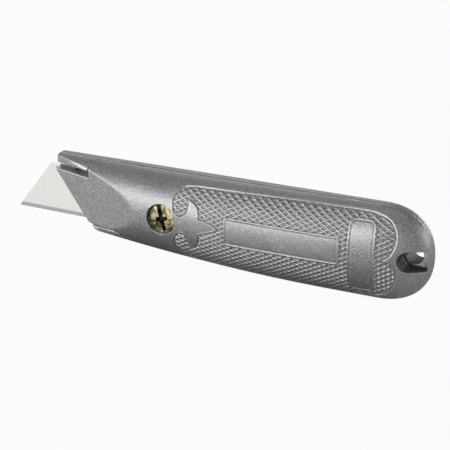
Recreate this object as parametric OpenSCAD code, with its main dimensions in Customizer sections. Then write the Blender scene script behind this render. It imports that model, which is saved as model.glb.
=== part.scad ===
// Fixed-blade utility knife: two hollow die-cast handle shells that interlock at the nose
// around a trapezoid blade, one clamp screw through both, spare blades stored inside.
// Millimetres. +Z is up (the knife's back), +X runs from nose to tail, and the screw side
// faces -Y. Inside the modules x = 0 is the nose tip, y = 0 the parting plane and z = 0 the
// handle's datum line; in_place() then stands the part on its lowest point, centred in plan.

/* [Handle] */
// Length of the two shells, nose to tail
handle_l = 137.8; // [130:0.1:150]
// Thickness of the closed handle where it is thickest
grip_t = 22.8; // [21:0.1:26]
// Distance from the nose to the thickest place
grip_x = 69; // [60:1:80]
// Length over which the thickness would run out to nothing
grip_reach = 115; // [108:1:130]
// Height of the back above the datum line at the nose
nose_top = 15.75; // [15.2:0.05:17]
// Height of the back above the datum line at the tail
tail_top = 18.5; // [16.5:0.1:20]
// Depth of the underside below the datum line at the nose
nose_bottom = 9.25; // [8.8:0.05:10]
// Depth of the underside below the datum line at the belly
belly_bottom = 15.45; // [14.5:0.05:17]
// Distance from the nose at which the underside levels out
belly_x = 105; // [95:1:112]
// Length of the rounded tail end
tail_r = 18.3; // [16:0.1:20]
// Fullness of the rounded cross-section (2 is an ellipse)
fullness = 2.19; // [2:0.01:2.5]
// Wall of the cast shells
wall = 2; // [1.6:0.1:2.4]
// Gap between the shells at the parting plane
seam = 0.3; // [0.2:0.05:0.5]
// Stations of the shells' loft along the handle
stations = 22; // [18:1:26]
// Points round the shells' cross-section
ring_n = 40; // [32:4:48]

/* [Nose] */
// Thickness of the closed nose at its tip
nose_w = 4; // [3.6:0.1:5]
// Angle in plan at which each nose cheek flares
nose_flare = 13.9; // [12:0.1:15]
// Top of the screw side's nose plate above the datum line
plate_top = 10.1; // [9.4:0.1:10.4]
// Length along X of the plate's slanted front edge
slant_l = 13.2; // [11:0.1:14]
// Bottom of the slanted front edge below the datum line
slant_bottom = 5.1; // [4.6:0.1:5.6]
// Underside of the interlocking tab above the datum line
tab_floor = 12.55; // [12.4:0.05:12.9]
// Set-back of the tab's front face
tab_front = 1.2; // [0.6:0.1:2]
// Distance from the nose to the tab's rear end
tab_end = 14.7; // [12:0.1:17]
// Radius of the tab's outer rear corner
tab_corner = 1.2; // [0.8:0.1:1.6]
// Radius of the fillet between the tab's end and the seam
tab_fillet = 1.6; // [1.2:0.1:2]
// Distance from the nose at which the seam returns to the middle
tab_runout = 24; // [21:0.5:28]
// Distance from the nose to the front of the interlocking lip
lip_front = 16.2; // [15.4:0.1:17]
// Distance from the nose to the rear end of the lip
lip_end = 28.8; // [25:0.1:33]
// Radius of the lip's upper rear corner
lip_corner = 2; // [1.4:0.1:2.6]
// Slope of the lip's top, so the blade can be lifted over it
lip_slope = 7.6; // [6:0.1:8]
// Length of the solid clamping block behind the nose tip
block_l = 30; // [26:1:32]

/* [Blade] */
// Length of the blade along its cutting edge
blade_l = 61.6; // [58:0.1:62]
// Height of the blade
blade_h = 19; // [18.6:0.05:19.05]
// Thickness of the blade
blade_t = 0.65; // [0.5:0.01:0.7]
// Angle of the blade's ends from the vertical
blade_slant = 36; // [32:0.5:40]
// How far the blade's point stands out of the nose
blade_out = 16; // [12:0.1:18]
// Level of the cutting edge below the datum line
edge_drop = 7.65; // [7.6:0.05:7.8]
// Height of the ground bevel
bevel_h = 1.6; // [1:0.1:2.2]
// Radius of the two notches in the blade's back
notch_r = 1.6; // [1.4:0.05:2]
// Distance between the notches
notch_pitch = 13; // [10:0.1:15]
// Room round the blade in its seat, in the blade's plane
blade_room = 0.3; // [0.25:0.01:0.35]
// Clearance between the blade's faces and the nose cheeks
clamp_gap = 0.05; // [0.03:0.01:0.08]

/* [Spare blades] */
// Distance from the nose to the first point of the stored blades
spare_x = 53.2; // [53:0.1:55]
// Level of the stored blades' cutting edges below the datum line
spare_drop = 8.6; // [8:0.1:9]
// Spacing of the stored blades
spare_pitch = 0.8; // [0.75:0.01:0.85]
// Thickness of the ribs that hold the stored blades
rib_t = 1.3; // [1:0.1:1.6]

/* [Clamp screw] */
// Distance from the nose to the screw
screw_x = 44.8; // [44.4:0.1:45.5]
// Height of the screw above the datum line
screw_z = 2.1; // [1.5:0.1:2.6]
// Radius of the screw head
head_r = 5; // [4.6:0.05:5.4]
// Height of the head's cylindrical rim
head_h = 2.2; // [1.8:0.1:2.6]
// Rise of the head's domed top above its rim
head_dome = 0.5; // [0.3:0.05:0.7]
// Depth of the head's rim below the handle's surface
head_sink = 1.5; // [1.2:0.1:2]
// Room round the head in its counterbore
head_room = 0.3; // [0.2:0.05:0.4]
// Radius of the screw's shank
shank_r = 2.5; // [2.3:0.05:2.6]
// Radial room round the shank in the screw side's hole
shank_room = 0.25; // [0.2:0.05:0.3]
// Radial running clearance in the threaded boss
thread_room = 0.05; // [0.02:0.01:0.08]
// Outer radius of the screw bosses
boss_r = 4.4; // [4.2:0.05:4.5]
// Width of the driver slot across the head
slot_w = 1.6; // [1.2:0.1:1.8]
// Length of the short arm of the cross recess
cross_l = 4.4; // [3.8:0.1:5]
// Depth of the driver recesses
recess_h = 1.5; // [1.2:0.1:1.8]
// Turn of the slot from the vertical
slot_turn = 14; // [0:1:90]

/* [Hanging hole] */
// Distance from the hole's centre to the tail end
hang_back = 6.7; // [6.4:0.1:7.2]
// Height of the hole above the datum line
hang_z = 1.5; // [0.5:0.1:2.5]
// Radius of the hole in the thread side's boss
hang_r = 3.2; // [2.8:0.05:3.4]
// Radius of the D-shaped opening in the screw side
dee_r = 3.6; // [3.5:0.05:3.9]
// Metal left behind the flat end of the D-shaped opening
dee_web = 1.2; // [1:0.1:1.6]
// Wall round the D-shaped opening and the boss
dee_wall = 1.3; // [1:0.1:1.6]

/* [Hidden] */
$fn = 48;
far_off = 60;          // reaches past the handle on any side
back_curve = 1.8;      // the back rises towards the tail by this power
belly_curve = 1.85;    // the underside levels out by this power
tail_curve = 2.27;     // fullness of the rounded tail end
widening = 1.5;         // the stations are closest at the nose, where the cheeks cut them
tail_stations = 10;
tail_last = 87;        // degrees round the tail end at the last station before its tip
draft = tan(lip_slope);
flare = tan(nose_flare);
edge_z = -edge_drop;
back_z = edge_z + blade_h;
blade_set = blade_h*tan(blade_slant);     // each end leans by this length
blade_mid = blade_l/2 - blade_out;
pip_r = notch_r - 0.4;                    // locating pips stand in the notches
seat_y = blade_t/2 + clamp_gap;
lip_level = edge_z - 0.2;                 // top of the lip at the parting plane
lip_top = edge_z + 0.7;                   // and where it is highest, at the cheek
lip_join = 0.35;                          // joint between lip and nose plate
spare_y = seam;                           // first stored blade, just inside its shell
spare_n = 5;
spare_floor = spare_y + (spare_n - 1)*spare_pitch + blade_t + 0.25;
hang_x = handle_l - hang_back;
dee_end = handle_l - dee_web;
screw_surface = half_t(screw_x)*rim(screw_x, screw_z);
head_top = screw_surface - head_sink;
head_seat = head_top - head_h;
shank_end = 9;                            // into the threaded boss

// Outlines of the closed handle. "in" moves them inwards by a wall.
function top_z(x, in = 0) =
    nose_top + (tail_top - nose_top)*pow(max(x, 0)/handle_l, back_curve) - in;
function bottom_z(x, in = 0) =
    -belly_bottom + (belly_bottom - nose_bottom)*pow(max(0, 1 - x/belly_x), belly_curve) + in;
function half_t(x, in = 0) = grip_t/2*(1 - pow((x - grip_x)/grip_reach, 2)) - in;
function tail_k(x, in = 0) = let (r = tail_r - in, u = (x - handle_l + tail_r)/r)
    u <= 0 ? 1 : pow(1 - pow(min(u, 1), tail_curve), 1/tail_curve);
function power(v, e) = sign(v)*pow(abs(v), e);
// Share of the half thickness that is left at height z of the station x
function rim(x, z) = let (m = (top_z(x) + bottom_z(x))/2, h = (top_z(x) - bottom_z(x))/2)
    pow(1 - pow(abs(z - m)/h, fullness), 1/fullness);

// Stations: steps that widen from the nose to the tail end's start, then round it
function station(i, x0, in = 0) = let (x1 = handle_l - tail_r)
    i <= stations ? x0 + (x1 - x0)*pow(i/stations, widening)
                  : x1 + (tail_r - in)*sin(tail_last*(i - stations)/tail_stations);
function ring(x, in) = let (m = (top_z(x, in) + bottom_z(x, in))/2,
                            h = (top_z(x, in) - bottom_z(x, in))/2, k = tail_k(x, in))
    [for (j = [0:ring_n - 1]) let (a = 360*(j + 0.5)/ring_n)
        [x, half_t(x, in)*k*power(cos(a), 2/fullness), m + h*k*power(sin(a), 2/fullness)]];

// The closed handle as one loft, whole or moved inwards by a wall
module handle_form(x0, in = 0) {
    last = stations + tail_stations;
    tip = handle_l - in;
    points = concat([for (i = [0:last]) each ring(station(i, x0, in), in)],
                    [[tip, 0, (top_z(tip) + bottom_z(tip))/2]]);
    apex = (last + 1)*ring_n;
    sides = [for (i = [0:last - 1], j = [0:ring_n - 1])
        let (a = i*ring_n + j, b = i*ring_n + (j + 1)%ring_n)
            each [[a, a + ring_n, b], [b, a + ring_n, b + ring_n]]];
    polyhedron(points, concat([[for (j = [0:ring_n - 1]) j]], sides,
        [for (j = [0:ring_n - 1]) [last*ring_n + j, apex, last*ring_n + (j + 1)%ring_n]]));
}

// Extrudes an outline drawn in the side view (x, z) from y0 to y1
module side(y0, y1) translate([0, y1, 0]) rotate([90, 0, 0]) linear_extrude(y1 - y0) children();
function arc(c, r, a0, a1, n = 8) = [for (i = [0:n]) let (a = a0 + (a1 - a0)*i/n)
    [c[0] + r*cos(a), c[1] + r*sin(a)]];
function cheek(x) = nose_w/2 + flare*x;

// Plan of one half between the parting plane and its nose cheek
module half_plan(dir) linear_extrude(2*far_off, center = true)
    polygon([[-1, dir*seam/2], [-1, dir*cheek(-1)], [handle_l + 1, dir*cheek(handle_l + 1)],
             [handle_l + 1, dir*seam/2]]);

// Side view of the nose: slanted front edge with a rounded foot, left open to the tail
module nose_outline(front, foot) polygon(concat(
    front, [[0, plate_top], [slant_l, -slant_bottom]],
    arc([slant_l + 2.6, -slant_bottom + 1.1], 2.6, 205, 262), foot,
    [[handle_l + 1, -far_off], [handle_l + 1, far_off]]));

module thread_side_outline() nose_outline([[tab_front, far_off], [tab_front, back_z]],
    [[lip_front + 0.9, edge_z - 0.5], [lip_front + 3.4, -belly_bottom]]);

// Plan of the tab, grown by g, with its rounded rear corner and the seam's fillet
module tab_plan(g = 0) {
    e = tab_end + g;
    yc = -cheek(e) + tab_corner;
    f = tab_fillet - g;
    step = nose_w/4 - 0.1 + g;
    polygon(concat([[tab_front - 2*g, 1], [tab_front - 2*g, -far_off]],
        [[e - tab_corner, -far_off]], arc([e - tab_corner, yc], tab_corner, -90, 0),
        arc([e + f, -step - f], f, 180, 90), [[tab_runout, -seam/2], [tab_runout, 1]]));
}

// Side view of the lip under the nose plate, grown by g
module lip_side(g = 0) side(-far_off, 1) polygon(concat(
    [[lip_front - 4, -far_off], [lip_front - 4, lip_top + g],
     [lip_end - 2*lip_corner, lip_top + g]],
    arc([lip_end - lip_corner + g, lip_top - 0.35 - lip_corner + g], lip_corner, 80, 0),
    [[lip_end + g, -far_off]]));

// The lip itself: its top falls inwards, so a lifted blade slides over it
module lip() intersection() {
    lip_side();
    translate([0, 0, lip_level]) rotate([90, 0, 90]) linear_extrude(handle_l)
        polygon([[1, -far_off], [1, -draft], [-far_off, draft*far_off], [-far_off, -far_off]]);
    mirror([0, 1, 0]) nose_wedge();
    side(-far_off, 1) thread_side_outline();
}

// Blade outline in the side view, grown by g, with its first point at x0
function blade_points(x0, g = 0) = let (s = g/cos(blade_slant), t = tan(blade_slant)*g)
    [[x0 - s - t, -g], [x0 + blade_set - s + t, blade_h + g],
     [x0 + blade_l - blade_set + s - t, blade_h + g], [x0 + blade_l + s + t, -g]];
module blade_seat() side(-seat_y, seat_y) translate([0, edge_z])
    polygon(blade_points(-blade_out, blade_room));
module at_notches() for (s = [-1, 1]) translate([blade_mid + s*notch_pitch/2, 0, back_z])
    children();
module rod(r, y0, y1) translate([0, y1, 0]) rotate([90, 0, 0]) cylinder(r = r, h = y1 - y0);

// D-shaped outline of the hanging opening in the side view, grown by g
module dee(g = 0, end = dee_end) polygon(concat(arc([0, 0], dee_r + g, 90, 270, 24),
    [[end - hang_x, -dee_r - g], [end - hang_x, dee_r + g]]));

// Boss and ribs that the screw side keeps inside its hollow
module screw_side_ribs() {
    translate([screw_x, 0, screw_z]) {
        rod(boss_r, -far_off, 0);
        rod(head_r + head_room + wall*0.75, -far_off, -head_seat + wall);
    }
    side(-far_off, 0) translate([hang_x, hang_z]) dee(dee_wall, handle_l + 1);
    for (x = [spare_x + blade_l*0.28, spare_x + blade_l*0.72])
        translate([x, -far_off, -spare_drop]) cube([rib_t, far_off - seam/2, blade_h]);
    translate([block_l + 7, -far_off, -far_off]) cube([rib_t, far_off - seat_y, 2*far_off]);
}

// Boss, hanging boss, blade rest and the tray of the spare blades in the thread side
module thread_side_ribs() {
    translate([screw_x, 0, screw_z]) rod(boss_r, 0, far_off);
    side(0, far_off) translate([hang_x, hang_z]) dee(dee_wall, handle_l + 1);
    translate([block_l + 7, seat_y, -far_off]) cube([rib_t, far_off, 2*far_off]);
    translate([spare_x - blade_room, spare_y, -spare_drop - blade_room]) {
        w = blade_l + 2*blade_room;
        h = blade_h + 2*blade_room;
        for (z = [-rib_t, h]) translate([-rib_t, 0, z]) cube([w + 2*rib_t, far_off, rib_t]);
        for (x = [-rib_t, w]) translate([x, 0, -rib_t]) cube([rib_t, far_off, h + 2*rib_t]);
        for (k = [0.2, 0.5, 0.8])
            translate([w*k, spare_floor - spare_y, 0]) cube([rib_t, far_off, h]);
    }
}

module screw_side_shell() color([0.62, 0.62, 0.62]) in_place() difference() {
    intersection() {
        handle_form(-1);
        half_plan(-1);
        side(-far_off, 0) nose_outline([[tab_end + seam, far_off], [tab_end + seam, plate_top]],
            [[lip_front + 1, -far_off]]);
    }
    difference() {
        handle_form(block_l, wall);
        screw_side_ribs();
    }
    translate([0, 0, tab_floor - seam]) linear_extrude(far_off) tab_plan(seam);
    lip_side(lip_join);
    blade_seat();
    at_notches() rod(pip_r + blade_room, -seat_y - 0.1, 0);
    translate([screw_x, 0, screw_z]) {
        rod(head_r + head_room, -far_off, -head_seat);
        rod(shank_r + shank_room, -far_off, 0);
    }
    side(-far_off, 0) translate([hang_x, hang_z]) dee();
}

module thread_side_shell() color([0.60, 0.60, 0.61]) in_place() {
    difference() {
        intersection() {
            handle_form(-1);
            union() {
                intersection() {
                    half_plan(1);
                    side(0, far_off) thread_side_outline();
                }
                intersection() {
                    translate([0, 0, tab_floor]) linear_extrude(far_off) tab_plan();
                    mirror([0, 1, 0]) nose_wedge();
                }
                lip();
                translate([tab_front, -blade_t/2, back_z + blade_room])
                    cube([tab_end - tab_front, 1, tab_floor - back_z]);
            }
        }
        difference() {
            handle_form(block_l, wall);
            thread_side_ribs();
            translate([0, seam/2 - 2*far_off, -far_off]) cube([handle_l, 2*far_off, 2*far_off]);
        }
        difference() {
            blade_seat();
            at_notches() rod(pip_r, -blade_t/2 + 0.05, far_off);
        }
        translate([screw_x, 0, screw_z]) rod(shank_r + thread_room, 0, shank_end + 0.5);
        translate([hang_x, 0, hang_z]) rod(hang_r, 0, far_off);
    }
}

// Everything between the parting plane and the thread side's cheek plane
module nose_wedge() linear_extrude(2*far_off, center = true)
    polygon([[-1, -1], [-1, cheek(-1)], [handle_l, cheek(handle_l)], [handle_l, -1]]);

module clamp_screw() color([0.78, 0.72, 0.45]) in_place() translate([screw_x, 0, screw_z]) {
    difference() {
        union() {
            rod(shank_r, -head_top + 0.5, shank_end);
            rod(head_r, -head_top, -head_seat - 0.1);
            intersection() {
                dome_r = (head_r*head_r + head_dome*head_dome)/(2*head_dome);
                translate([0, dome_r - head_top - head_dome, 0]) sphere(dome_r, $fn = 160);
                rod(head_r, -head_top - 1, -head_top + 0.1);
            }
        }
        rotate([0, slot_turn, 0]) translate([0, -head_top - head_dome, 0]) {
            cube([slot_w, 2*recess_h, 3*head_r], center = true);
            cube([cross_l, 2*recess_h, slot_w], center = true);
        }
    }
}

// One ground trapezoid blade, its first point at x0 and its near face at y0
module ground_blade(x0, y0, z0) translate([0, y0, z0]) difference() {
    side(0, blade_t) polygon(blade_points(x0));
    for (s = [0, 1]) translate([x0 - 1, s*blade_t, 0]) mirror([0, s, 0])
        rotate([90, 0, 90]) linear_extrude(blade_l + 2)
            polygon([[-1, -1], [blade_t/2 - 0.01, -1], [blade_t/2 - 0.01, 0], [0, bevel_h],
                     [-1, bevel_h]]);
    for (s = [-1, 1]) translate([x0 + blade_l/2 + s*notch_pitch/2, 0, blade_h])
        rod(notch_r, -1, 2);
}

module blade() color([0.86, 0.87, 0.87]) in_place()
    ground_blade(-blade_out, -blade_t/2, edge_z);

module spare_blade(i) color([0.80, 0.82, 0.82]) in_place()
    ground_blade(spare_x, spare_y + (i - 1)*spare_pitch, -spare_drop);

module in_place() translate([-(handle_l - blade_out)/2, 0, belly_bottom]) children();

screw_side_shell();
thread_side_shell();
clamp_screw();
blade();
spare_blade(1);  // spare_blade_1
spare_blade(2);  // spare_blade_2
spare_blade(3);  // spare_blade_3
spare_blade(4);  // spare_blade_4
spare_blade(5);  // spare_blade_5
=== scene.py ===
"""Fixed-blade utility knife: two die-cast zinc handle shells with a cast crosshatch grip,
a trapezoid blade, its spares and one yellow-zinc clamp screw, dressed over the CAD frame."""

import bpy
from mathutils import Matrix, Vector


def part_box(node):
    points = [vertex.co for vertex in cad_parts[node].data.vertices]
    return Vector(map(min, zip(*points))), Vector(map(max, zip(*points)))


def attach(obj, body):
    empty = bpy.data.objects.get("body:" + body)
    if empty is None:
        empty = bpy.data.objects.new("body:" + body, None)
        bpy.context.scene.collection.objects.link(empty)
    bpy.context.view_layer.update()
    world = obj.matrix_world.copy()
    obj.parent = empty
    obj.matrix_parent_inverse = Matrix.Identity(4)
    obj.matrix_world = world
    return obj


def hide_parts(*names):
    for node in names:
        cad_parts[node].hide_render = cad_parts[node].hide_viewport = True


bl_info = {
    "name": "Fixed-blade utility knife",
    "version": (1, 0, 0),
    "blender": (4, 5, 0),
    "location": "View3D > Sidebar > Knife",
    "description": "Builds the cast grip, screw, blades and finishes of a utility knife",
    "category": "Add Mesh",
}

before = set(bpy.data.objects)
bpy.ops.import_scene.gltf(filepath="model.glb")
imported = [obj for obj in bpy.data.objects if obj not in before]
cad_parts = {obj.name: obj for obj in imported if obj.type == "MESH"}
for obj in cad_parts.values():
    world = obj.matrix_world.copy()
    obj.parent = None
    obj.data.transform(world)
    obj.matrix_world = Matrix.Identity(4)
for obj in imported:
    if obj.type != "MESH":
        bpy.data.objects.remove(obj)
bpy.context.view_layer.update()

import math

import bmesh
import bpy
import numpy as np
from bpy.props import FloatProperty, FloatVectorProperty, PointerProperty
from mathutils import Vector

MM = 0.001

# The handle's own shape, in millimetres from the nose tip (x), parting plane (y) and
# datum line (z), as the CAD source has it.
HANDLE_L = 137.8
GRIP_T, GRIP_X, GRIP_REACH = 22.8, 69.0, 115.0
NOSE_TOP, TAIL_TOP, BACK_CURVE = 15.75, 18.5, 1.8
NOSE_BOTTOM, BELLY_BOTTOM, BELLY_X, BELLY_CURVE = 9.25, 15.45, 105.0, 1.85
TAIL_R, TAIL_CURVE, FULLNESS = 18.3, 2.27, 2.19
NOSE_W, NOSE_FLARE = 4.0, 13.9
SEAM = 0.3
PLATE_TOP, SLANT_L, SLANT_BOTTOM = 10.1, 13.2, 5.1
TAB_FLOOR, TAB_FRONT, TAB_END = 12.55, 1.2, 14.7
LIP_TOP, LIP_END, LIP_R, LIP_JOIN = -6.95, 28.8, 2.0, 0.35
SCREW_X, SCREW_Z, HEAD_R, HEAD_ROOM = 44.8, 2.1, 5.0, 0.3
HEAD_H, HEAD_DOME, SHANK_R, SHANK_END = 2.2, 0.5, 2.5, 9.0
SLOT_W, CROSS_L, RECESS_H, SLOT_TURN = 1.6, 4.4, 1.5, -14.0
HANG_X, HANG_Z, HANG_R, DEE_R, DEE_END = 131.1, 1.5, 3.2, 3.6, 136.6

# Where the module's origin stands in the row frame: the clamp screw gives both places.
_screw_low, _screw_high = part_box("clamp_screw")
NOSE_AT = (_screw_low.x + _screw_high.x) / 2 / MM - SCREW_X
DATUM_AT = (_screw_low.z + _screw_high.z) / 2 / MM - SCREW_Z

# Outline of the cast grip on each side, as runs of points in (x, z) that meet in corners:
# the back border, the wedge beside the hanging opening, the belly border, then the two
# round lobes and the smooth leaf between them at the front end.
GRIP_RUNS = [
    [(54.6, 10.9), (55.1, 9.2), (54.9, 7.2), (54.0, 5.6), (52.4, 4.6), (50.9, 4.8),
     (49.6, 6.0), (49.0, 8.0), (48.9, 10.2), (49.5, 11.8), (50.5, 13.1), (51.8, 14.0),
     (53.8, 14.5), (58.5, 14.85), (65.2, 15.05), (77.5, 15.45), (92.7, 16.0),
     (106.1, 16.3), (115.5, 16.5), (120.0, 16.2), (123.4, 15.25), (125.3, 13.9),
     (126.7, 11.9), (127.3, 9.0), (126.8, 6.0), (125.4, 3.2), (123.2, 1.5)],
    [(123.2, 1.5), (125.2, 1.0), (126.8, -0.1), (127.6, -2.0), (127.4, -5.0),
     (126.3, -8.4), (123.8, -11.2), (119.5, -12.9), (112.0, -13.6), (100.0, -13.6),
     (86.0, -13.4), (72.0, -12.8), (62.0, -12.1), (56.0, -11.6), (53.0, -10.9),
     (51.0, -9.3), (49.9, -7.2), (49.5, -5.2), (49.8, -3.3), (50.8, -1.8), (52.4, -1.1),
     (54.0, -2.0), (54.9, -3.7), (55.5, -5.3), (56.5, -6.0), (57.9, -4.7), (58.6, -2.7),
     (59.0, -0.6)],
    [(59.0, -0.6), (61.6, 0.5), (63.9, 1.4), (66.0, 2.4)],
    [(66.0, 2.4), (64.4, 3.4), (62.7, 4.1), (60.7, 4.5), (58.8, 4.7)],
    [(58.8, 4.7), (58.8, 6.4), (58.4, 8.0), (57.8, 9.0), (56.7, 9.9), (54.6, 10.9)],
]
# A crossing of the crosshatch, from which its pitches are counted
CROSS_X, CROSS_Z = 92.5, 15.38
# Rows of a section: in each turned-over end, and in the band that keeps the ridges' beat
END_ROWS, BAND_ROWS, BAND_UNDER = 24, 154, 5
# Height of the far side's grip, as a share of the near side's
FAR_GRIP_SHARE = 0.93
# Stretch of the handle that the grip can reach
GRIP_FROM, GRIP_TO = 47.0, 129.0
# How white floor and air look in mirror rays, as a share of how white the eye sees them
MIRROR_SHARE = 0.15
# Bare plates in the grip: centre, half sizes and corner radius
PLATES = [((88.3, 2.5), (20.1, 4.9), 1.1), ((115.85, 1.5), (4.5, 12.8), 2.7)]


# ---------------------------------------------------------------- sizes and colours


def length(name, about, default, low=0.0, high=0.05):
    """A size property in metres."""
    return FloatProperty(name=name, description=about, default=default, min=low, max=high,
                         unit="LENGTH", precision=5)


def colour(name, about, default):
    """A colour property, linear RGB."""
    return FloatVectorProperty(name=name, description=about, default=default, size=3,
                               min=0.0, max=1.0, subtype="COLOR")


class KnifeGripSizes(bpy.types.PropertyGroup):
    """Sizes of the cast crosshatch grip and its bare plates."""

    pitch_x: length("Pitch along handle", "Crosshatch repeat along the handle", 3.06 * MM)
    pitch_z: length("Pitch across handle", "Crosshatch repeat across the handle", 1.72 * MM)
    recess: length("Recess", "Depth of the grip's floor below the smooth casting", 0.42 * MM)
    ridge_sink: length("Ridge sink", "Depth of the crosshatch crests below it", 0.06 * MM)
    ridge_half: length("Ridge half width", "Half width of a ridge at its foot", 0.4 * MM)
    crest_half: length("Crest half width", "Half width of a ridge's crest", 0.13 * MM)
    wall_w: length("Edge slope", "Width over which the grip's edge drops", 0.3 * MM)
    moat_w: length("Border groove", "Width of the plain groove inside that edge", 0.62 * MM)
    bead_w: length("Border bead", "Width of the raised bead outside the edge", 0.6 * MM)
    bead_h: length("Border bead height", "Height of that bead", 0.09 * MM)
    frame_w: length("Plate rim", "Width of the rim round a bare plate", 0.55 * MM)
    rim_h: length("Plate rim height", "Height of that rim's crest", 0.07 * MM)
    groove_w: length("Plate groove", "Width of the groove inside the rim", 0.42 * MM)
    groove_d: length("Plate groove depth", "Depth of the groove inside the rim", 0.30 * MM)
    plate_sink: length("Plate sink", "Depth of the plate's field below the rim", 0.06 * MM)
    edge_r: length("Edge radius", "Rounding of the casting's edges", 0.3 * MM)


class KnifeFinish(bpy.types.PropertyGroup):
    """Colours and roughness of the knife's finishes."""

    lacquer: colour("Lacquered zinc", "Grey lacquer on the die castings", (0.29, 0.29, 0.293))
    # Paler zinc on convex edges: partly wear, partly a painted highlight.
    worn_highlight_colour: colour("Worn zinc", "Bare zinc where edges have worn", (0.52, 0.52, 0.53))
    # Near black, painted shade: used in the castings' tail, along the parting plane, at the
    # counterbore wall and on the blade's back under the nose tab.
    bare: colour("Bare zinc", "Unlacquered zinc inside the castings", (0.05, 0.05, 0.05))
    hollow: colour("Hollow", "Zinc in the shells' hollows", (0.17, 0.17, 0.172))
    lacquer_rough: FloatProperty(name="Lacquer roughness", default=0.46, min=0.0, max=1.0,
                                 description="Roughness of the lacquered castings")
    steel: colour("Blade steel", "Polished carbon steel of the blades", (0.96, 0.96, 0.93))
    ground: colour("Ground bevel", "Freshly ground bevel of the blades", (0.42, 0.47, 0.49))
    zinc_yellow: colour("Yellow zinc", "Chromated zinc plate of the screw", (0.85, 0.76, 0.46))
    zinc_green: colour("Green zinc", "Olive tint in the screw's chromate", (0.22, 0.27, 0.13))


class KnifeStudio(bpy.types.PropertyGroup):
    """Camera, lamps and backdrop."""

    target: FloatVectorProperty(name="Target", description="Point the camera looks at",
                                default=(0.0029, 0.0, 0.0149), size=3, subtype="XYZ",
                                unit="LENGTH")
    azimuth: FloatProperty(name="Azimuth", description="Camera's turn round the knife",
                           default=math.radians(24.56), subtype="ANGLE")
    elevation: FloatProperty(name="Elevation", description="Camera's height angle",
                             default=math.radians(24.5), subtype="ANGLE")
    distance: length("Distance", "Camera's distance from the target", 0.6267, 0.1, 5.0)
    lens: FloatProperty(name="Lens", description="Focal length, mm", default=148.8)
    floor_white: colour("Backdrop", "Colour of the floor and backdrop", (0.75, 0.75, 0.75))


# ---------------------------------------------------------------- shape of the handle


def placed(x, y, z):
    """Module millimetres to row-frame metres, stacked as points."""
    x, y, z = np.broadcast_arrays(x, y, z)
    return np.stack([x + NOSE_AT, y, z + DATUM_AT], -1).reshape(-1, 3) * MM


def top_z(x):
    """The back: rises from nose to tail by a power of the distance."""
    return NOSE_TOP + (TAIL_TOP - NOSE_TOP) * (np.maximum(x, 0) / HANDLE_L) ** BACK_CURVE


def bottom_z(x):
    """The underside: drops from the nose and levels out at the belly."""
    left = np.maximum(0, 1 - x / BELLY_X)
    return -BELLY_BOTTOM + (BELLY_BOTTOM - NOSE_BOTTOM) * left**BELLY_CURVE


def half_t(x):
    """Half thickness: a parabola with its crest at the thickest place."""
    return GRIP_T / 2 * (1 - ((x - GRIP_X) / GRIP_REACH) ** 2)


def tail_k(x):
    """Share of every section left in the rounded tail: a superellipse to the tip."""
    u = np.clip((x - HANDLE_L + TAIL_R) / TAIL_R, 0, 1)
    return (1 - u**TAIL_CURVE) ** (1 / TAIL_CURVE)


def cheek(x):
    """Half width between the flat nose cheeks, which flare in plan."""
    return NOSE_W / 2 + math.tan(math.radians(NOSE_FLARE)) * x


def middle(x):
    """Height half way between the back and the underside."""
    return (top_z(x) + bottom_z(x)) / 2


def half_h(x):
    """Half height of the section, before the tail's rounding."""
    return (top_z(x) - bottom_z(x)) / 2


def smooth_step(t):
    """0 up to 0, 1 from 1, smooth between."""
    t = np.clip(t, 0, 1)
    return t * t * (3 - 2 * t)


def smooth_min(a, b, r):
    """Smaller of two surfaces, blended over a width r where they cross."""
    h = np.clip(0.5 + 0.5 * (b - a) / r, 0, 1)
    return b + (a - b) * h - r * h * (1 - h)


def rounding(d, r):
    """Fall of a surface at distance d inside an edge that is eased over about r."""
    return 0.5 * r * np.clip(1 - d / (1.3 * r), 0, 1) ** 2


def ramp(low, high, value):
    """0 at low, 1 at high, straight between; low may be the larger."""
    return np.clip((value - low) / (high - low), 0, 1)


def polyline_distance(x, z, points):
    """Distance of every place to an open run of points."""
    best = np.full(x.shape, 1e9)
    for (ax, az), (bx, bz) in zip(points[:-1], points[1:]):
        dx, dz = bx - ax, bz - az
        t = np.clip(((x - ax) * dx + (z - az) * dz) / (dx * dx + dz * dz + 1e-12), 0, 1)
        best = np.minimum(best, np.hypot(x - ax - t * dx, z - az - t * dz))
    return best


def inside(x, z, points):
    """Whether each place lies inside a closed outline, by counting crossings."""
    count = np.zeros(x.shape, int)
    for (ax, az), (bx, bz) in zip(points, np.roll(points, -1, 0)):
        if az == bz:
            continue
        crossing = (az > z) != (bz > z)
        count += crossing & (x < ax + (z - az) / (bz - az) * (bx - ax))
    return count % 2 == 1


def spline_run(points, steps=8):
    """A run of points joined by Catmull-Rom arcs, its two ends kept as corners."""
    p = np.array(points, float)
    p = np.vstack([2 * p[0] - p[1], p, 2 * p[-1] - p[-2]])
    t = (np.arange(steps) / steps)[None, :, None]
    a, b, c, d = (p[i : len(p) - 3 + i, None, :] for i in range(4))
    arc = 0.5 * (2 * b + (c - a) * t + (2 * a - 5 * b + 4 * c - d) * t**2
                 + (3 * b - a - 3 * c + d) * t**3)
    return arc.reshape(-1, 2)


GRIP_OUTLINE = np.vstack([spline_run(run) for run in GRIP_RUNS])


def outline_depth(x, z, outline):
    """Signed distance to a closed outline, positive inside it."""
    d = polyline_distance(x, z, np.vstack([outline, outline[:1]]))
    return np.where(inside(x, z, outline), d, -d)


def plate_depth(x, z, plate):
    """Signed distance to a rounded rectangle, positive inside it."""
    (cx, cz), (hx, hz), r = plate
    qx, qz = np.abs(x - cx) - hx + r, np.abs(z - cz) - hz + r
    return r - np.hypot(np.maximum(qx, 0), np.maximum(qz, 0)) - np.minimum(
        np.maximum(qx, qz), 0)


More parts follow.
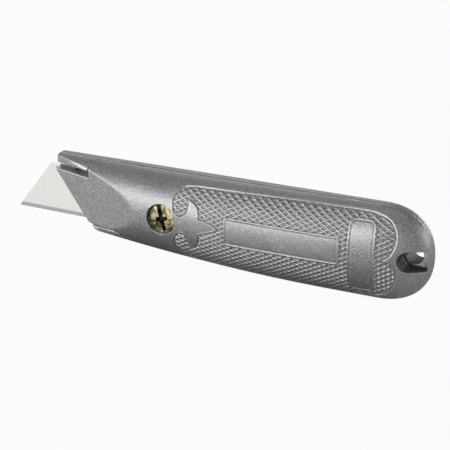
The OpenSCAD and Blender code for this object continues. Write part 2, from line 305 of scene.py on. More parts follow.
def grip_relief(x, z, s, outline):
    """Depth of the cast grip below the smooth casting at each place, in millimetres.

    Inside the outline the floor is sunk. Two families of ridges cross it, where the sum
    or the difference of x and z, each in pitches, is half way between whole numbers; a
    ridge falls from its crest to its foot in a straight flank. A plate stands level with
    the casting: a rim, a groove inside the rim, then the plate's own field. The edge of
    the grip and of each plate is a smooth step."""
    along, across = (x - CROSS_X) / (s.pitch_x / MM), (z - CROSS_Z) / (s.pitch_z / MM)
    apart = 1 / math.hypot(MM / s.pitch_x, MM / s.pitch_z)
    height = 0
    for w in (along + across, along - across):
        off = np.abs(w - 0.5 - np.round(w - 0.5)) * apart
        height = np.maximum(height, ramp(s.ridge_half / MM, s.crest_half / MM, off))
    inward = outline_depth(x, z, outline)
    height *= ramp(s.wall_w / MM, s.moat_w / MM, inward)
    depth = (s.recess - height * (s.recess - s.ridge_sink)) / MM
    depth *= smooth_step(inward / (s.wall_w / MM))
    depth -= s.bead_h / MM * np.clip(1 - np.abs(2 * inward / (s.bead_w / MM) + 0.9), 0, 1)
    for plate in PLATES:
        inward = plate_depth(x, z, plate)
        off = np.abs(inward - (s.frame_w + s.groove_w / 2) / MM)
        groove = ramp(s.groove_w / 2 / MM, s.groove_w / 6 / MM, off) * s.groove_d / MM
        field = (inward > (s.frame_w + s.groove_w / 2) / MM) * s.plate_sink / MM
        risen = smooth_step(1 + inward / (s.wall_w * 0.7 / MM))
        rim = s.rim_h / MM * np.clip(1 - np.abs(2 * inward / (s.frame_w / MM) - 1), 0, 1)
        depth += risen * (np.maximum(groove, field) - rim - depth)
    return depth


def even(a, b, step):
    """Values from a to b, at most a step apart, without the last."""
    n = max(1, int(math.ceil((b - a) / step)))
    return a + (b - a) * np.arange(n) / n


def station_row(s):
    """Stations along the handle: finest in the grip, where they keep the ridges' beat."""
    beat = s.pitch_x / MM / 10
    first, last = math.ceil((48 - CROSS_X) / beat), math.floor((119 - CROSS_X) / beat)
    grip = CROSS_X + beat * np.arange(first, last)
    tail = HANDLE_L - TAIL_R + TAIL_R * np.sin(np.linspace(0.0, math.pi / 2, 64))[1:-1]
    tail = np.concatenate([even(grip[-1] + beat, tail[2], beat), tail[2:-1]])
    finer = [even(a, b, beat * 1.1) for a, b in zip(tail[:-1], tail[1:])]
    return np.concatenate([even(-1.0, 16.0, 0.26), even(16.0, 31.0, 0.4),
                           even(31.0, 38.0, 0.7), even(38.0, grip[0], 0.28), grip,
                           *finer, [tail[-1], HANDLE_L - 0.02]])


def section_rows(x, s):
    """Heights and widths of one side's section at stations x, from the belly to the back.

    Between two levels the rows keep the ridges' beat; past them they go round by the
    angle of the superellipse, so that they stay close where the section turns over."""
    beat = s.pitch_z / MM / 10
    m, h = middle(x)[:, None], half_h(x)[:, None]
    k = tail_k(x)[:, None]
    low, high = CROSS_Z - beat * (BAND_ROWS + BAND_UNDER), CROSS_Z - beat * BAND_UNDER
    z_low = np.maximum(low, bottom_z(x)[:, None] + 1.6)
    z_high = np.minimum(high, top_z(x)[:, None] - 1.1)
    z_low, z_high = m + (z_low - m) * k, m + (z_high - m) * k
    hk = np.maximum(h * k, 1e-6)
    band = z_low + (z_high - z_low) * np.linspace(0, 1, BAND_ROWS + 1)[None, :]
    t_low, t_high = (np.arcsin(np.clip(np.abs(z - m) / hk, 0, 1) ** (FULLNESS / 2))
                     for z in (z_low, z_high))
    ease = 1 - (1 - np.linspace(0, 1, END_ROWS + 1)) ** 1.35
    a_low = math.pi / 2 + (t_low - math.pi / 2) * ease[None, :]
    a_high = t_high + (math.pi / 2 - t_high) * (1 - ease[::-1])[None, :]
    below = m - hk * np.sin(a_low) ** (2 / FULLNESS)
    above = m + hk * np.sin(a_high) ** (2 / FULLNESS)
    z = np.hstack([below[:, :-1], band, above[:, 1:]])
    share = np.clip(1 - (np.abs(z - m) / hk) ** FULLNESS, 0, 1) ** (1 / FULLNESS)
    share[:, 0] = share[:, -1] = 0
    return z, half_t(x)[:, None] * k * share


def arc(cx, cz, r, start, end, count):
    """Points of an arc in the side view, by degrees."""
    a = np.radians(np.linspace(start, end, count))
    return [(cx + r * math.cos(t), cz + r * math.sin(t)) for t in a]


def lip_line(g):
    """The lip's upper edge under the nose, grown by g, and its rounded rear corner."""
    return [(LIP_END - 2 * LIP_R, LIP_TOP + g),
            *arc(LIP_END - LIP_R + g, LIP_TOP - 0.35 - LIP_R + g, LIP_R, 80, 0, 7),
            (LIP_END + g, -20)]


def edge_falls(x, z, y, near_piece, own_side, r):
    """How far the casting's surface falls at its eased edges.

    An edge that is cut straight through along y falls by the distance from the cut's
    outline in the side view, which is taken as less than nothing inside the cut; the
    seam's edges fall by the distance from the parting plane."""
    falls = rounding(y - SEAM / 2, r * 1.4)
    if near_piece and own_side:
        nose = [(-30, 30), (TAB_END + SEAM, 30), (TAB_END + SEAM, PLATE_TOP), (0, PLATE_TOP),
                (SLANT_L, -SLANT_BOTTOM),
                *arc(SLANT_L + 2.6, 1.1 - SLANT_BOTTOM, 2.6, 205, 262, 7),
                *lip_line(LIP_JOIN), (-30, -20)]
        dee = [(DEE_END, HANG_Z + DEE_R), *arc(HANG_X, HANG_Z, DEE_R, 90, 270, 25),
               (DEE_END, HANG_Z - DEE_R)]
        cuts = [nose, dee]
        screw = np.hypot(x - SCREW_X, z - SCREW_Z) - HEAD_R - HEAD_ROOM
        falls = np.maximum(falls, rounding(screw, r * 0.7))
    elif own_side:
        cuts = []
        hole = np.hypot(x - HANG_X, z - HANG_Z) - HANG_R
        falls = np.maximum(falls, rounding(hole, r))
    else:
        cuts = [[(-30, 30), (TAB_FRONT, 30), (TAB_FRONT, TAB_FLOOR), (40, TAB_FLOOR),
                 (40, -20), *lip_line(0)[::-1], (-30, LIP_TOP)]]
    for cut in cuts:
        falls = np.maximum(falls, rounding(-outline_depth(x, z, np.array(cut)), r))
    return falls


def skin(s, node):
    """The outer surface of one casting, as rings of points round its closed solid.

    Sections of a superellipse are lofted along the handle and cut by the flared nose
    cheeks. The casting's own side is then sunk along its normal by the grip's relief and
    the eased edges; the other side, which only the nose tab of the thread side reaches,
    has every fourth row."""
    near_piece = node == "screw_side_shell"
    outline = GRIP_OUTLINE * (1, 1 if near_piece else FAR_GRIP_SHARE)
    x = station_row(s)
    z_all, y_all = section_rows(x, s)
    r = s.edge_r / MM
    band_end = END_ROWS + BAND_ROWS
    sides = []
    for side in (-1, 1):
        own = (side < 0) == near_piece
        keep = np.r_[0:END_ROWS, END_ROWS : band_end : 1 if own else 4,
                     band_end : z_all.shape[1]]
        z, y = z_all[:, keep], y_all[:, keep]
        xs = np.broadcast_to(x[:, None], z.shape)
        flat = smooth_min(y, cheek(xs), 0.25)
        base = np.stack([xs, side * flat, z], -1)
        normal = np.cross(np.gradient(base, axis=1), np.gradient(base, axis=0)) * side
        normal /= np.linalg.norm(normal, axis=-1, keepdims=True) + 1e-12
        depth = edge_falls(xs, z, flat, near_piece, own, r)
        if own:
            held = (x > GRIP_FROM) & (x < GRIP_TO)
            depth[held] += grip_relief(xs[held], z[held], s, outline)
        base = base - normal * depth[..., None]
        base[..., 1] = side * np.maximum(side * base[..., 1], 0)
        sides.append(base)
    return np.concatenate([sides[0], sides[1][:, -2:0:-1]], axis=1)


def flatness(p, i, j, k, l):
    """How well the normals of a quad's two triangles agree, split from i to k."""
    n1 = np.cross(p[j] - p[i], p[k] - p[i])
    n2 = np.cross(p[k] - p[i], p[l] - p[i])
    n1 /= np.linalg.norm(n1, axis=1, keepdims=True) + 1e-15
    n2 /= np.linalg.norm(n2, axis=1, keepdims=True) + 1e-15
    return (n1 * n2).sum(1)


def ring_solid(name, ring):
    """A closed mesh from rings of points: quads split along the diagonal that follows
    the surface best, and a fan over each end."""
    m, n = ring.shape[:2]
    grid = np.arange(m * n).reshape(m, n)
    a, b = grid[:-1], grid[1:]
    c, d = np.roll(b, -1, 1), np.roll(a, -1, 1)
    p = ring.reshape(-1, 3)
    quads = np.stack([a, b, c, d], -1).reshape(-1, 4)
    q = quads.T
    straight = flatness(p, *q) >= flatness(p, q[1], q[2], q[3], q[0])
    tri = np.where(straight[:, None, None],
                   np.stack([quads[:, [0, 1, 2]], quads[:, [0, 2, 3]]], 1),
                   np.stack([quads[:, [1, 2, 3]], quads[:, [1, 3, 0]]], 1)).reshape(-1, 3)
    ends = []
    for i, flip in ((0, False), (m - 1, True)):
        hub = len(p)
        p = np.vstack([p, ring[i].mean(0)])
        loop = np.stack([grid[i], np.roll(grid[i], -1), np.full(n, hub)], -1)
        ends.append(loop[:, ::-1] if flip else loop)
    return mesh_from(name, placed(*p.T), np.vstack([tri, *ends]))


def mesh_from(name, points, faces):
    """A mesh from arrays of points and faces, its normals turned outwards."""
    me = bpy.data.meshes.new(name)
    me.from_pydata(np.asarray(points, float), [], np.asarray(faces, int).tolist())
    bm = bmesh.new()
    bm.from_mesh(me)
    bmesh.ops.remove_doubles(bm, verts=bm.verts, dist=1e-7)
    bmesh.ops.recalc_face_normals(bm, faces=bm.faces)
    bm.to_mesh(me)
    bm.free()
    return me


def new_object(name, me):
    """An object of this mesh, linked to the scene."""
    o = bpy.data.objects.new(name, me)
    bpy.context.scene.collection.objects.link(o)
    return o


def grown_casting(node):
    """A merged copy of a CAD casting with its outer skin pushed out by about 5%: every
    inner wall, boss and opening stays, and the dressed skin alone sets the surface."""
    bm = bmesh.new()
    bm.from_mesh(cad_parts[node].data)
    bmesh.ops.remove_doubles(bm, verts=bm.verts, dist=1e-6)
    me = bpy.data.meshes.new(node + "_grown")
    bm.to_mesh(me)
    bm.free()
    p = np.zeros(len(me.vertices) * 3)
    me.vertices.foreach_get("co", p)
    p = p.reshape(-1, 3) / MM - np.array([NOSE_AT, 0, DATUM_AT])
    x, y, z = p.T
    m, h, k = middle(x), half_h(x), np.maximum(tail_k(x), 1e-3)
    full = (np.abs(z - m) / (h * k)) ** FULLNESS + (np.abs(y) / (half_t(x) * k)) ** FULLNESS
    on_dome = (full > 0.965) | (x > HANDLE_L - 0.9)
    on_cheek = np.abs(np.abs(y) - cheek(x)) < 0.02
    dee = (np.abs(x - HANG_X) < 5.6) & (np.abs(z - HANG_Z) < DEE_R + 0.05)
    y_out = np.sign(y) * np.where(on_dome | on_cheek, 0.9, 0) * np.clip(
        (np.abs(y) - SEAM / 2) / 1.5, 0, 1)
    z_out = np.where(on_dome & ~dee, (z - m) * 0.05, 0)
    x_out = np.where(on_dome & ~dee, np.clip((x - 120) / 17, 0, 1) * 0.8, 0)
    x_out -= np.where(x < -0.99, 1.0, 0)
    tab_face = (np.abs(x - TAB_FRONT) < 0.05) & (z > PLATE_TOP + 0.5)
    x_out += np.where(tab_face, (y + 2) * math.tan(math.radians(NOSE_FLARE)), 0)
    seam_face = (y < 0) & (np.abs(y + SEAM / 2) < 0.02) & (z > TAB_FLOOR) & (x < 120)
    y_out -= np.where(seam_face, SEAM / 2, 0)
    q = np.stack([x + x_out, y + y_out, z + z_out], -1)
    me.vertices.foreach_set("co", placed(*q.T).ravel())
    me.update()
    paint_inside(me)
    return new_object(node + "_grown", me)


def paint_inside(me):
    """Gives the casting's inner walls the unlacquered zinc finish, which carries painted
    shade:
    every face well under the skin that is behind the nose and isn't part of the flat parting
    face at the tail, and the counterbore's wall."""
    n = len(me.polygons)
    centre, normal = np.zeros(n * 3), np.zeros(n * 3)
    me.polygons.foreach_get("center", centre)
    me.polygons.foreach_get("normal", normal)
    x, y, z = (centre.reshape(-1, 3) / MM - np.array([NOSE_AT, 0, DATUM_AT])).T
    hk = half_h(x) * np.maximum(tail_k(x), 1e-3)
    share = np.clip(1 - (np.abs(z - middle(x)) / hk) ** FULLNESS, 0, 1) ** (1 / FULLNESS)
    under = np.minimum(half_t(x) * tail_k(x) * share, cheek(x)) - np.abs(y)
    parting = (np.abs(normal.reshape(-1, 3)[:, 1]) > 0.9) & (np.abs(y) < 1) & (x > 125)
    bare = (under > 0.6) & (x > TAB_END + 1) & ~parting
    off_screw = np.hypot(x - SCREW_X, z - SCREW_Z)
    bare |= (y < -SEAM) & (np.abs(off_screw - HEAD_R - HEAD_ROOM) < 0.08)
    me.materials.append(material("lacquered_zinc_casting", lacquered_zinc))
    me.materials.append(material("bare_zinc_with_painted_shade", bare_zinc))
    me.polygons.foreach_set("material_index", bare.astype(int))


def boolean(target, cutter, operation):
    """The target's mesh after one boolean with the cutter, worked out at once; the
    cutter is used up."""
    mod = target.modifiers.new(operation.lower(), "BOOLEAN")
    mod.operation, mod.solver, mod.object = operation, "MANIFOLD", cutter
    graph = bpy.context.evaluated_depsgraph_get()
    made = bpy.data.meshes.new_from_object(target.evaluated_get(graph))
    target.modifiers.clear()
    old, spare = target.data, cutter.data
    target.data = made
    bpy.data.objects.remove(cutter)
    bpy.data.meshes.remove(old)
    bpy.data.meshes.remove(spare)
    if not len(made.polygons):
        raise RuntimeError(f"{target.name}: the boolean left nothing")


def smooth_by_angle(o, degrees):
    """Smooth shading, with edges kept sharp where faces meet at more than this."""
    o.data.polygons.foreach_set("use_smooth", np.ones(len(o.data.polygons), bool))
    o.data.set_sharp_from_angle(angle=math.radians(degrees))


def dressed_casting(name, node, body):
    """One handle casting: the CAD solid's inside with the dressed skin over it."""
    s = bpy.context.scene.knife_grip
    o = grown_casting(node)
    cover = new_object("skin", ring_solid("skin", skin(s, node)))
    for material in o.data.materials:
        cover.data.materials.append(material)
    boolean(o, cover, "INTERSECT")
    o.name = o.data.name = name
    smooth_by_angle(o, 28)
    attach(o, body)
    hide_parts(node)


# ---------------------------------------------------------------- shader recipes


class Value:
    """A shader socket that can be written into sums: each operator adds a Math node."""

    def __init__(self, recipe, socket):
        self.recipe, self.socket = recipe, socket

    def maths(self, operation, *others, swap=False):
        terms = [self, *others]
        if swap:
            terms = terms[::-1]
        return self.recipe.node("ShaderNodeMath", {"operation": operation},
                                dict(enumerate(terms)))

    def __add__(self, o):
        return self.maths("ADD", o)

    def __sub__(self, o):
        return self.maths("SUBTRACT", o)

    def __rsub__(self, o):
        return self.maths("SUBTRACT", o, swap=True)

    def __mul__(self, o):
        return self.maths("MULTIPLY", o)

    def __pow__(self, o):
        return self.maths("POWER", o)

    __radd__ = __add__


class Recipe:
    """The node tree of a material or a world: adds nodes by type, settings and sockets."""

    def __init__(self, owner):
        owner.use_nodes = True
        self.tree = owner.node_tree
        self.tree.nodes.clear()

    def node(self, kind, settings=None, sockets=None, out=0):
        n = self.tree.nodes.new(kind)
        for key, value in (settings or {}).items():
            setattr(n, key, value)
        for key, value in (sockets or {}).items():
            if isinstance(value, Value):
                self.tree.links.new(value.socket, n.inputs[key])
            else:
                n.inputs[key].default_value = value
        return Value(self, n.outputs[out]) if len(n.outputs) else None

    def place(self):
        """The place in the object's own space."""
        return self.node("ShaderNodeTexCoord", out="Object")

    def axis(self, i):
        """One coordinate of the object's own space, in metres."""
        return self.node("ShaderNodeSeparateXYZ", None, {0: self.place()}, out=i)

    def noise(self, scale, detail, rough, vector=None):
        """Noise of this scale at each place, 0 to 1."""
        return self.node("ShaderNodeTexNoise", None,
                         {"Scale": scale, "Detail": detail, "Roughness": rough,
                          "Vector": vector or self.place()})

    def mix(self, factor, a, b, blend="MIX"):
        """Two colours mixed by a factor."""
        return self.node("ShaderNodeMix", {"data_type": "RGBA", "blend_type": blend},
                         {0: factor, 6: a, 7: b}, out=2)

    def grey(self, value):
        """A grey of this brightness."""
        return self.node("ShaderNodeCombineColor", None, {0: value, 1: value, 2: value})

    def step(self, value, low, high):
        """0 below low, 1 above high, smooth between."""
        return self.node("ShaderNodeMapRange", {"interpolation_type": "SMOOTHSTEP"},
                         {"Value": value, "From Min": low, "From Max": high})

    def bump(self, height, distance, strength):
        """A surface normal tilted by a height, which is in units of the distance."""
        return self.node("ShaderNodeBump", None,
                         {"Height": height, "Distance": distance, "Strength": strength})

    def finish(self, **sockets):
        """Principled surface to the output; spaces in socket names are underscores."""
        shader = self.node("ShaderNodeBsdfPrincipled", None,
                           {k.replace("_", " "): v for k, v in sockets.items()})
        self.node("ShaderNodeOutputMaterial", None, {"Surface": shader})


def rgba(c):
    """A colour with full alpha."""
    return (*c[:3], 1.0)


def material(name, build):
    """The material of this name; its nodes are built when it is first asked for."""
    if name not in bpy.data.materials:
        build(Recipe(bpy.data.materials.new(name)), bpy.context.scene.knife_finish)
    return bpy.data.materials[name]


def lacquered_zinc(r, f):
    """Grey lacquer over die-cast zinc: fine mottling and a slight orange peel. Convex edges
    are paler, partly as worn zinc and partly as a painted highlight; concave places and
    the blade slot under the nose tab are darkened as painted shade."""
    fine = r.noise(1500, 3, 0.6)
    broad = r.noise(60, 3, 0.55)
    grain = r.noise(3200, 2, 0.5)
    curve = r.node("ShaderNodeNewGeometry", out="Pointiness")
    # Convex edges by pointiness: paler and smoother, partly worn zinc and partly a painted
    # highlight.
    worn_edge_highlight = r.step(curve + (fine - 0.5) * 0.02, 0.506, 0.545)
    # Concave places by pointiness: their tone is made up to 42% darker below, as painted
    # shade.
    hollow = 1 - r.step(curve, 0.43, 0.492)
    tone = 1 + (fine - 0.5) * 1.3 + (broad - 0.5) * 0.25 + (grain - 0.5) * 0.8
    # Painted shade in the blade slot under the nose tab: the tone is up to 75% darker there.
    tone = tone * (1 - hollow * 0.42) * (1 - slot_shade(r) * 0.75)
    base = r.mix(1.0, rgba(f.lacquer), r.grey(tone), "MULTIPLY")
    base = r.mix(worn_edge_highlight * 0.6, base, rgba(f.worn_highlight_colour))
    rough = f.lacquer_rough + (fine - 0.5) * 0.3 + (broad - 0.5) * 0.10 - worn_edge_highlight * 0.10
    bump = r.bump(grain * 0.4 + fine, 0.0001, 0.9)
    r.finish(Base_Color=base, Metallic=0.72, Roughness=rough, Normal=bump)


def slot_shade(r):
    """A mask of painted shade: 1 in the narrow blade slot under the nose tab, past the plate's
    eased edge: there the cheeks stand further out than |y|, and z is between the two faces."""
    x, y, z = (r.axis(i) for i in range(3))
    along = x - NOSE_AT * MM
    up = z - DATUM_AT * MM
    inward = along * math.tan(math.radians(NOSE_FLARE)) + NOSE_W / 2 * MM - y.maths("ABSOLUTE")
    level = r.step(up, (PLATE_TOP - 0.4) * MM, (PLATE_TOP - 0.1) * MM) * (
        1 - r.step(up, (TAB_FLOOR + 0.02) * MM, (TAB_FLOOR + 0.1) * MM))
    return level * r.step(inward, 0.35 * MM, 0.75 * MM) * (
        1 - r.step(along, (TAB_END + 0.5) * MM, (TAB_END + 0.8) * MM))


def screw_distance(r):
    """Distance of each place from the clamp screw's axis, in metres."""
    off_x = r.axis(0) - (SCREW_X + NOSE_AT) * MM
    off_z = r.axis(2) - (SCREW_Z + DATUM_AT) * MM
    return (off_x * off_x + off_z * off_z) ** 0.5


def bare_zinc(r, f):
    """The castings' unlacquered inside: dull zinc with a coarser skin, in its own grey, but
    painted near black as shade in the tail, along the parting plane and at the counterbore
    wall.
    """
    patch = r.noise(420, 4, 0.6)
    # 1 where the inside keeps its own grey; 0 in the tail, along the parting plane and at the
    # counterbore wall, where it is painted near black as shade.
    hollow = (1 - r.step(r.axis(0), (NOSE_AT + 119) * MM, (NOSE_AT + 122) * MM)) * (
        r.step(r.axis(1).maths("ABSOLUTE"), 0.4 * MM, 0.9 * MM))
    hollow = hollow * r.step(screw_distance(r), 5.4 * MM, 5.6 * MM)
    dark = r.mix(patch, rgba(f.bare), rgba([c * 1.7 for c in f.bare]))
    pale = r.mix(patch, rgba(f.hollow), rgba([c * 1.4 for c in f.hollow]))
    base = r.mix(hollow, dark, pale)
    bump = r.bump(r.noise(2600, 3, 0.6), 0.00003, 0.5)
    r.finish(Base_Color=base, Metallic=0.5, Roughness=0.6, Normal=bump)


def blade_steel(r, f):
    """Polished carbon steel; the ground bevel along the edge is greyer, with fine grinding
    marks that run across it. Its back in the slot under the nose tab is darkened as painted
    shade."""
    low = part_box("blade")[0].z
    height = r.axis(2) - low
    up = DATUM_AT * MM - low
    bevel = 1 - r.step(height, 0.00155, 0.00165)
    stretch = r.node("ShaderNodeMapping", None, {"Vector": r.place(), "Scale": (1, 1, 0.06)})
    grind = r.noise(5200, 2, 0.6, stretch)
    smear = r.noise(38, 3, 0.6)
    steel = r.mix(smear * 0.35, rgba(f.steel), (0.90, 0.91, 0.88, 1))
    ground = r.mix(grind, rgba(f.ground), (0.50, 0.55, 0.56, 1))
    base = r.mix(bevel, steel, ground)
    # Painted shade on the blade's back in the slot under the nose tab: up to 93% of the way to
    # the near-black inside colour, and rougher.
    tab_shadow = slot_shade(r) * r.step(r.axis(0), (NOSE_AT + 0.4) * MM, (NOSE_AT + 1.6) * MM)
    tab_shadow = tab_shadow * (1 - r.step(height, 11.0 * MM + up, 11.4 * MM + up))
    base = r.mix(tab_shadow * 0.93, base, rgba(f.bare))
    rough = 0.26 + bevel * (grind * 0.12 + 0.08) + tab_shadow * 0.3
    bump = r.bump(grind * bevel, 0.00001, 0.25)
    r.finish(Base_Color=base, Metallic=0.6, Roughness=rough, Normal=bump)


def yellow_zinc(r, f):
    """Yellow chromated zinc plate: cream and olive patches with darker speckle; the slot and
    cross recess are painted near black as shade.
    """
    under_face = r.axis(1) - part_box("clamp_screw")[0].y
    # Painted shade: inside the slot and cross recess, below the head's dome, the colour goes
    # nearly black (mixed in below).
    sunk = r.step(under_face, 0.65 * MM, 1.7 * MM) * (
        1 - r.step(under_face, 2.6 * MM, 2.7 * MM))
    sunk = sunk * (1 - r.step(screw_distance(r), (HEAD_R - 0.25) * MM, (HEAD_R - 0.1) * MM))
    patch = r.noise(230, 2, 0.5)
    cloud = r.noise(520, 3, 0.6)
    fleck = r.noise(1500, 3, 0.6)
    base = r.mix(r.step(patch, 0.45, 0.56), rgba(f.zinc_yellow), rgba(f.zinc_green))
    base = r.mix(r.step(cloud, 0.49, 0.56) * 0.85, base, (0.05, 0.065, 0.03, 1))
    base = r.mix(r.step(fleck, 0.58, 0.70) * 0.6, base, (0.85, 0.45, 0.20, 1))
    base = r.mix(sunk, base, (0.015, 0.015, 0.01, 1))
    rough = 0.20 + fleck * 0.18
    bump = r.bump(fleck, 0.00001, 0.3)
    r.finish(Base_Color=base, Metallic=0.9, Roughness=rough, Normal=bump)


# ---------------------------------------------------------------- the other pieces


def box_object(name, low, high, turn=0.0, about=(0, 0)):
    """A cutter box in module millimetres, turned in the side view about a point."""
    corners = np.array([[x, y, z] for x in (low[0], high[0]) for y in (low[1], high[1])
                        for z in (low[2], high[2])], float)
    c, s = math.cos(turn), math.sin(turn)
    dx, dz = corners[:, 0] - about[0], corners[:, 2] - about[1]
    corners[:, 0], corners[:, 2] = about[0] + dx * c + dz * s, about[1] - dx * s + dz * c
    faces = [(0, 1, 3, 2), (4, 6, 7, 5), (0, 4, 5, 1), (2, 3, 7, 6), (0, 2, 6, 4),
             (1, 5, 7, 3)]
    return new_object(name, mesh_from(name, placed(*corners.T), faces))


def threaded_screw():
    """The clamp screw: a profile turned about y, with a helical thread on the shank
    whose radius falls from crest to root by the distance to the helix."""
    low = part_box("clamp_screw")[0]
    face = low.y / MM
    rim = face + HEAD_DOME
    seat = rim + HEAD_H
    around, pitch, thread_depth, edge = 96, 0.8, 0.42, 0.28
    dome_r = (HEAD_R**2 + HEAD_DOME**2) / (2 * HEAD_DOME)
    a = np.linspace(0, 1, 22)[1:]
    r_dome = (HEAD_R - edge) * a
    y_dome = face + dome_r - np.sqrt(dome_r**2 - r_dome**2)
    turn = np.radians(np.linspace(0, 90, 7))[1:]
    r_edge = HEAD_R - edge + edge * np.sin(turn)
    y_edge = y_dome[-1] + 0.3 * (1 - np.cos(turn))
    r_side = np.array([HEAD_R, HEAD_R, HEAD_R - 0.12])
    y_side = np.array([rim + 0.6, seat - 0.15, seat])
    r_under = np.array([3.6, SHANK_R + 0.12, SHANK_R])
    y_under = np.array([seat, seat, seat + 0.12])
    y_shank = np.arange(seat + 0.3, SHANK_END - 0.55, pitch / 8)
    r_shank = np.full(y_shank.shape, SHANK_R)
    y_tip = np.array([SHANK_END - 0.5, SHANK_END - 0.2, SHANK_END, SHANK_END])
    r_tip = np.array([SHANK_R - 0.1, SHANK_R - 0.4, SHANK_R - 0.75, 0.9])
    r = np.concatenate([r_dome, r_edge, r_side, r_under, r_shank, r_tip])
    y = np.concatenate([y_dome, y_edge, y_side, y_under, y_shank, y_tip])
    t = 2 * math.pi * np.arange(around) / around
    rr = np.repeat(r[:, None], around, 1)
    depth = thread_depth * smooth_step((y - seat - 2.2) / 0.8) * (y < SHANK_END - 0.4)
    saw = np.abs((y[:, None] / pitch - t[None, :] / (2 * math.pi)) % 1 - 0.5) * 2
    rr -= depth[:, None] * smooth_step(saw * 1.2 - 0.1)
    ring = np.stack([SCREW_X + rr * np.cos(t), np.repeat(y[:, None], around, 1),
                     SCREW_Z + rr * np.sin(t)], -1)
    o = new_object("clamp_screw_dressed", ring_solid("clamp_screw_dressed", ring))
    centre, turned = (SCREW_X, SCREW_Z), math.radians(SLOT_TURN)
    for half_x, half_z in ((SLOT_W / 2, 9.0), (CROSS_L / 2, SLOT_W / 2)):
        cut = box_object("driver_cut", (SCREW_X - half_x, face - 2, SCREW_Z - half_z),
                         (SCREW_X + half_x, face + RECESS_H, SCREW_Z + half_z), turned, centre)
        boolean(o, cut, "DIFFERENCE")
    smooth_by_angle(o, 32)
    return o


# ---------------------------------------------------------------- operators


class KNIFE_OT_screw_side(bpy.types.Operator):
    """Build the screw side's casting with its cast grip"""

    bl_idname = "knife.screw_side"
    bl_label = "Screw side casting"

    def execute(self, context):
        dressed_casting("screw_side_casting", "screw_side_shell", "screw_side")
        return {"FINISHED"}


class KNIFE_OT_thread_side(bpy.types.Operator):
    """Build the thread side's casting with its cast grip, tab and lip"""

    bl_idname = "knife.thread_side"
    bl_label = "Thread side casting"

    def execute(self, context):
        dressed_casting("thread_side_casting", "thread_side_shell", "thread_side")
        return {"FINISHED"}


class KNIFE_OT_clamp_screw(bpy.types.Operator):
    """Build the clamp screw with its thread, slot and cross recess"""

    bl_idname = "knife.clamp_screw"
    bl_label = "Clamp screw"

    def execute(self, context):
        o = threaded_screw()
        o.data.materials.clear()
        o.data.materials.append(material("yellow_zinc_chromate", yellow_zinc))
        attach(o, "screw")
        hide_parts("clamp_screw")
        return {"FINISHED"}


class KNIFE_OT_blades(bpy.types.Operator):
    """Give the fitted blade and the spare blades their ground steel"""

    bl_idname = "knife.blades"
    bl_label = "Blades"

    def execute(self, context):
        for name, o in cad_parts.items():
            if "blade" in name:
                o.data.materials.clear()
                o.data.materials.append(material("blade_steel_ground", blade_steel))
        return {"FINISHED"}


class KNIFE_OT_stage(bpy.types.Operator):
    """Set the pale floor and backdrop, soft lamps and the camera"""

    bl_idname = "knife.stage"
    bl_label = "Stage"

    def execute(self, context):
        studio = context.scene.knife_studio
        white_floor(studio)
        white_world()
        soft_lamps()
        set_camera(studio)
        return {"FINISHED"}


def light_path(r):
    """One where the ray comes from the eye, from a mirror and through glass."""
    return [r.node("ShaderNodeLightPath", out=f"Is {kind} Ray")
            for kind in ("Camera", "Glossy", "Transmission")]


def white_floor_shares(r):
    """How white the floor looks by kind of ray, and how dark its own colour is: white to
    the eye and through glass, with a little of the knife's shadow left, and a share of
    that in mirror rays. A painted shadow under the knife's body, which only mirror rays
    and bounced light meet, keeps the underside dark."""
    eye, mirror, glass = light_path(r)
    x, y = r.axis(0), r.axis(1)
    # Painted shadow on the floor under the knife's body: the floor's own colour darkens and
    # mirror rays see less white there, while the eye sees none of it.
    floor_shadow = r.step(x, -0.055, -0.03) * (1 - r.step(x, 0.05, 0.08))
    floor_shadow = floor_shadow * r.step(y, -0.05, -0.02) * (1 - r.step(y, 0.02, 0.05))
    eye = eye.maths("MAXIMUM", glass) * 0.95
    return eye.maths("MAXIMUM", mirror * MIRROR_SHARE * (1 - floor_shadow)), floor_shadow * (1 - eye)


def white_floor(studio):
    """A floor that runs back and curves up into a backdrop: a profile swept along x."""
    back, bend, top, half_width = 1.2, 0.8, 2.6, 2.5
    run = np.array([-1.6, -0.5, 0.5, back])
    a = np.radians(np.linspace(0, 90, 13))[1:]
    y = np.concatenate([run, back + bend * np.sin(a), [back + bend]])
    z = np.concatenate([0 * run, bend - bend * np.cos(a), [top]])
    x = np.array([-half_width, 0.0, half_width])
    n = len(y)
    points = np.stack([np.repeat(x, n), np.tile(y, 3), np.tile(z, 3)], -1)
    i = (np.arange(2)[:, None] * n + np.arange(n - 1)[None, :]).ravel()
    faces = np.stack([i, i + n, i + n + 1, i + 1], -1)
    me = bpy.data.meshes.new("pale_floor")
    me.from_pydata(points, [], faces.tolist())
    o = new_object("pale_floor", me)
    me.polygons.foreach_set("use_smooth", np.ones(len(me.polygons), bool))
    pale = bpy.data.materials.new("pale_floor")
    r = Recipe(pale)
    white, dark = white_floor_shares(r)
    # In the painted shadow the floor's colour darkens to 0.1.
    shade = r.mix(dark, rgba(studio.floor_white), (0.1, 0.1, 0.1, 1))
    diffuse = r.node("ShaderNodeBsdfDiffuse", None, {"Color": shade})
    glow = r.node("ShaderNodeEmission", None, {"Color": (1, 1, 1, 1), "Strength": 1.0})
    mixed = r.node("ShaderNodeMixShader", None, {0: white, 1: diffuse, 2: glow})
    r.node("ShaderNodeOutputMaterial", None, {"Surface": mixed})
    me.materials.append(pale)


def white_world():
    """Air that is white to the eye and through glass, less so in mirror rays, and that
    lights the knife only faintly."""
    world = bpy.data.worlds.new("studio_air")
    bpy.context.scene.world = world
    r = Recipe(world)
    eye, mirror, glass = light_path(r)
    white = eye.maths("MAXIMUM", glass).maths("MAXIMUM", mirror * MIRROR_SHARE)
    back = r.node("ShaderNodeBackground", None, {"Color": (1, 1, 1, 1),
                                                 "Strength": 0.03 + white * 0.97})
    r.node("ShaderNodeOutputWorld", None, {"Surface": back})


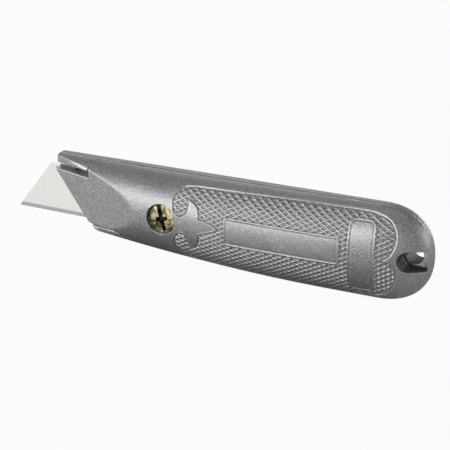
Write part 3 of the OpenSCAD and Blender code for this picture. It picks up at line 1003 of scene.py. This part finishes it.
def soft_lamps():
    """Soft rectangular lamps round the knife: azimuth and elevation in degrees from the
    front, distance and size in metres, and power in watts."""
    lamps = {
        "front": (-15, 10, 0.7, (0.45, 0.2), 3.0),
        "front_left": (-55, 10, 0.7, (0.45, 0.2), 1.5),
        "right": (90, 15, 0.8, (0.5, 0.35), 2.0),
        "left": (-90, 15, 0.8, (0.5, 0.35), 2.0),
        "top": (0, 85, 0.8, (0.6, 0.6), 0.8),
        "back_left": (-150, 30, 0.8, (0.5, 0.4), 1.0),
        "back_right": (150, 10, 0.8, (0.6, 0.25), 2.5),
    }
    centre = Vector((0, 0, 0.012))
    for name, (azimuth, elevation, distance, size, power) in lamps.items():
        lamp = bpy.data.lights.new(name, "AREA")
        lamp.shape, (lamp.size, lamp.size_y), lamp.energy = "RECTANGLE", size, power
        away = direction(math.radians(azimuth), math.radians(elevation))
        o = bpy.data.objects.new(name, lamp)
        o.location = centre + away * distance
        o.rotation_euler = (-away).to_track_quat("-Z", "Y").to_euler()
        o.visible_camera = False
        bpy.context.scene.collection.objects.link(o)


def direction(azimuth, elevation):
    """Unit vector out from the knife: azimuth 0 is the front, -Y, and turns to +X."""
    flat = math.cos(elevation)
    return Vector((math.sin(azimuth) * flat, -math.cos(azimuth) * flat, math.sin(elevation)))


def set_camera(studio):
    """The camera at the knife's three-quarter view from the front and above."""
    back = direction(studio.azimuth, studio.elevation)
    data = bpy.data.cameras.new("camera")
    data.lens, data.sensor_width = studio.lens, 36.0
    data.clip_start, data.clip_end = 0.01, 20.0
    cam = bpy.data.objects.new("camera", data)
    cam.location = Vector(studio.target) + back * studio.distance
    cam.rotation_mode = "QUATERNION"
    cam.rotation_quaternion = (-back).to_track_quat("-Z", "Y")
    bpy.context.scene.collection.objects.link(cam)
    bpy.context.scene.camera = cam
    bpy.context.scene.view_settings.view_transform = "Standard"


class KNIFE_PT_panel(bpy.types.Panel):
    """Lists the knife's pieces, sizes and colours"""

    bl_idname = "KNIFE_PT_panel"
    bl_label = "Utility knife"
    bl_space_type = "VIEW_3D"
    bl_region_type = "UI"
    bl_category = "Knife"

    def draw(self, context):
        for group in ("knife_grip", "knife_finish", "knife_studio"):
            box = self.layout.box()
            values = getattr(context.scene, group)
            for key in values.bl_rna.properties.keys():
                if key not in ("rna_type", "name"):
                    box.prop(values, key)
        for operator in OPERATORS:
            self.layout.operator(operator.bl_idname)


OPERATORS = [KNIFE_OT_screw_side, KNIFE_OT_thread_side, KNIFE_OT_clamp_screw,
             KNIFE_OT_blades, KNIFE_OT_stage]
GROUPS = {"knife_grip": KnifeGripSizes, "knife_finish": KnifeFinish,
          "knife_studio": KnifeStudio}


def register():
    for c in (*GROUPS.values(), *OPERATORS, KNIFE_PT_panel):
        bpy.utils.register_class(c)
    for name, group in GROUPS.items():
        setattr(bpy.types.Scene, name, PointerProperty(type=group))


def unregister():
    for name in GROUPS:
        delattr(bpy.types.Scene, name)
    for c in (KNIFE_PT_panel, *OPERATORS[::-1], *list(GROUPS.values())[::-1]):
        bpy.utils.unregister_class(c)


def main():
    """Registers the add-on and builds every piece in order."""
    register()
    for operator in OPERATORS:
        group, call = operator.bl_idname.split(".")
        getattr(getattr(bpy.ops, group), call)()


if __name__ == "__main__":
    main()
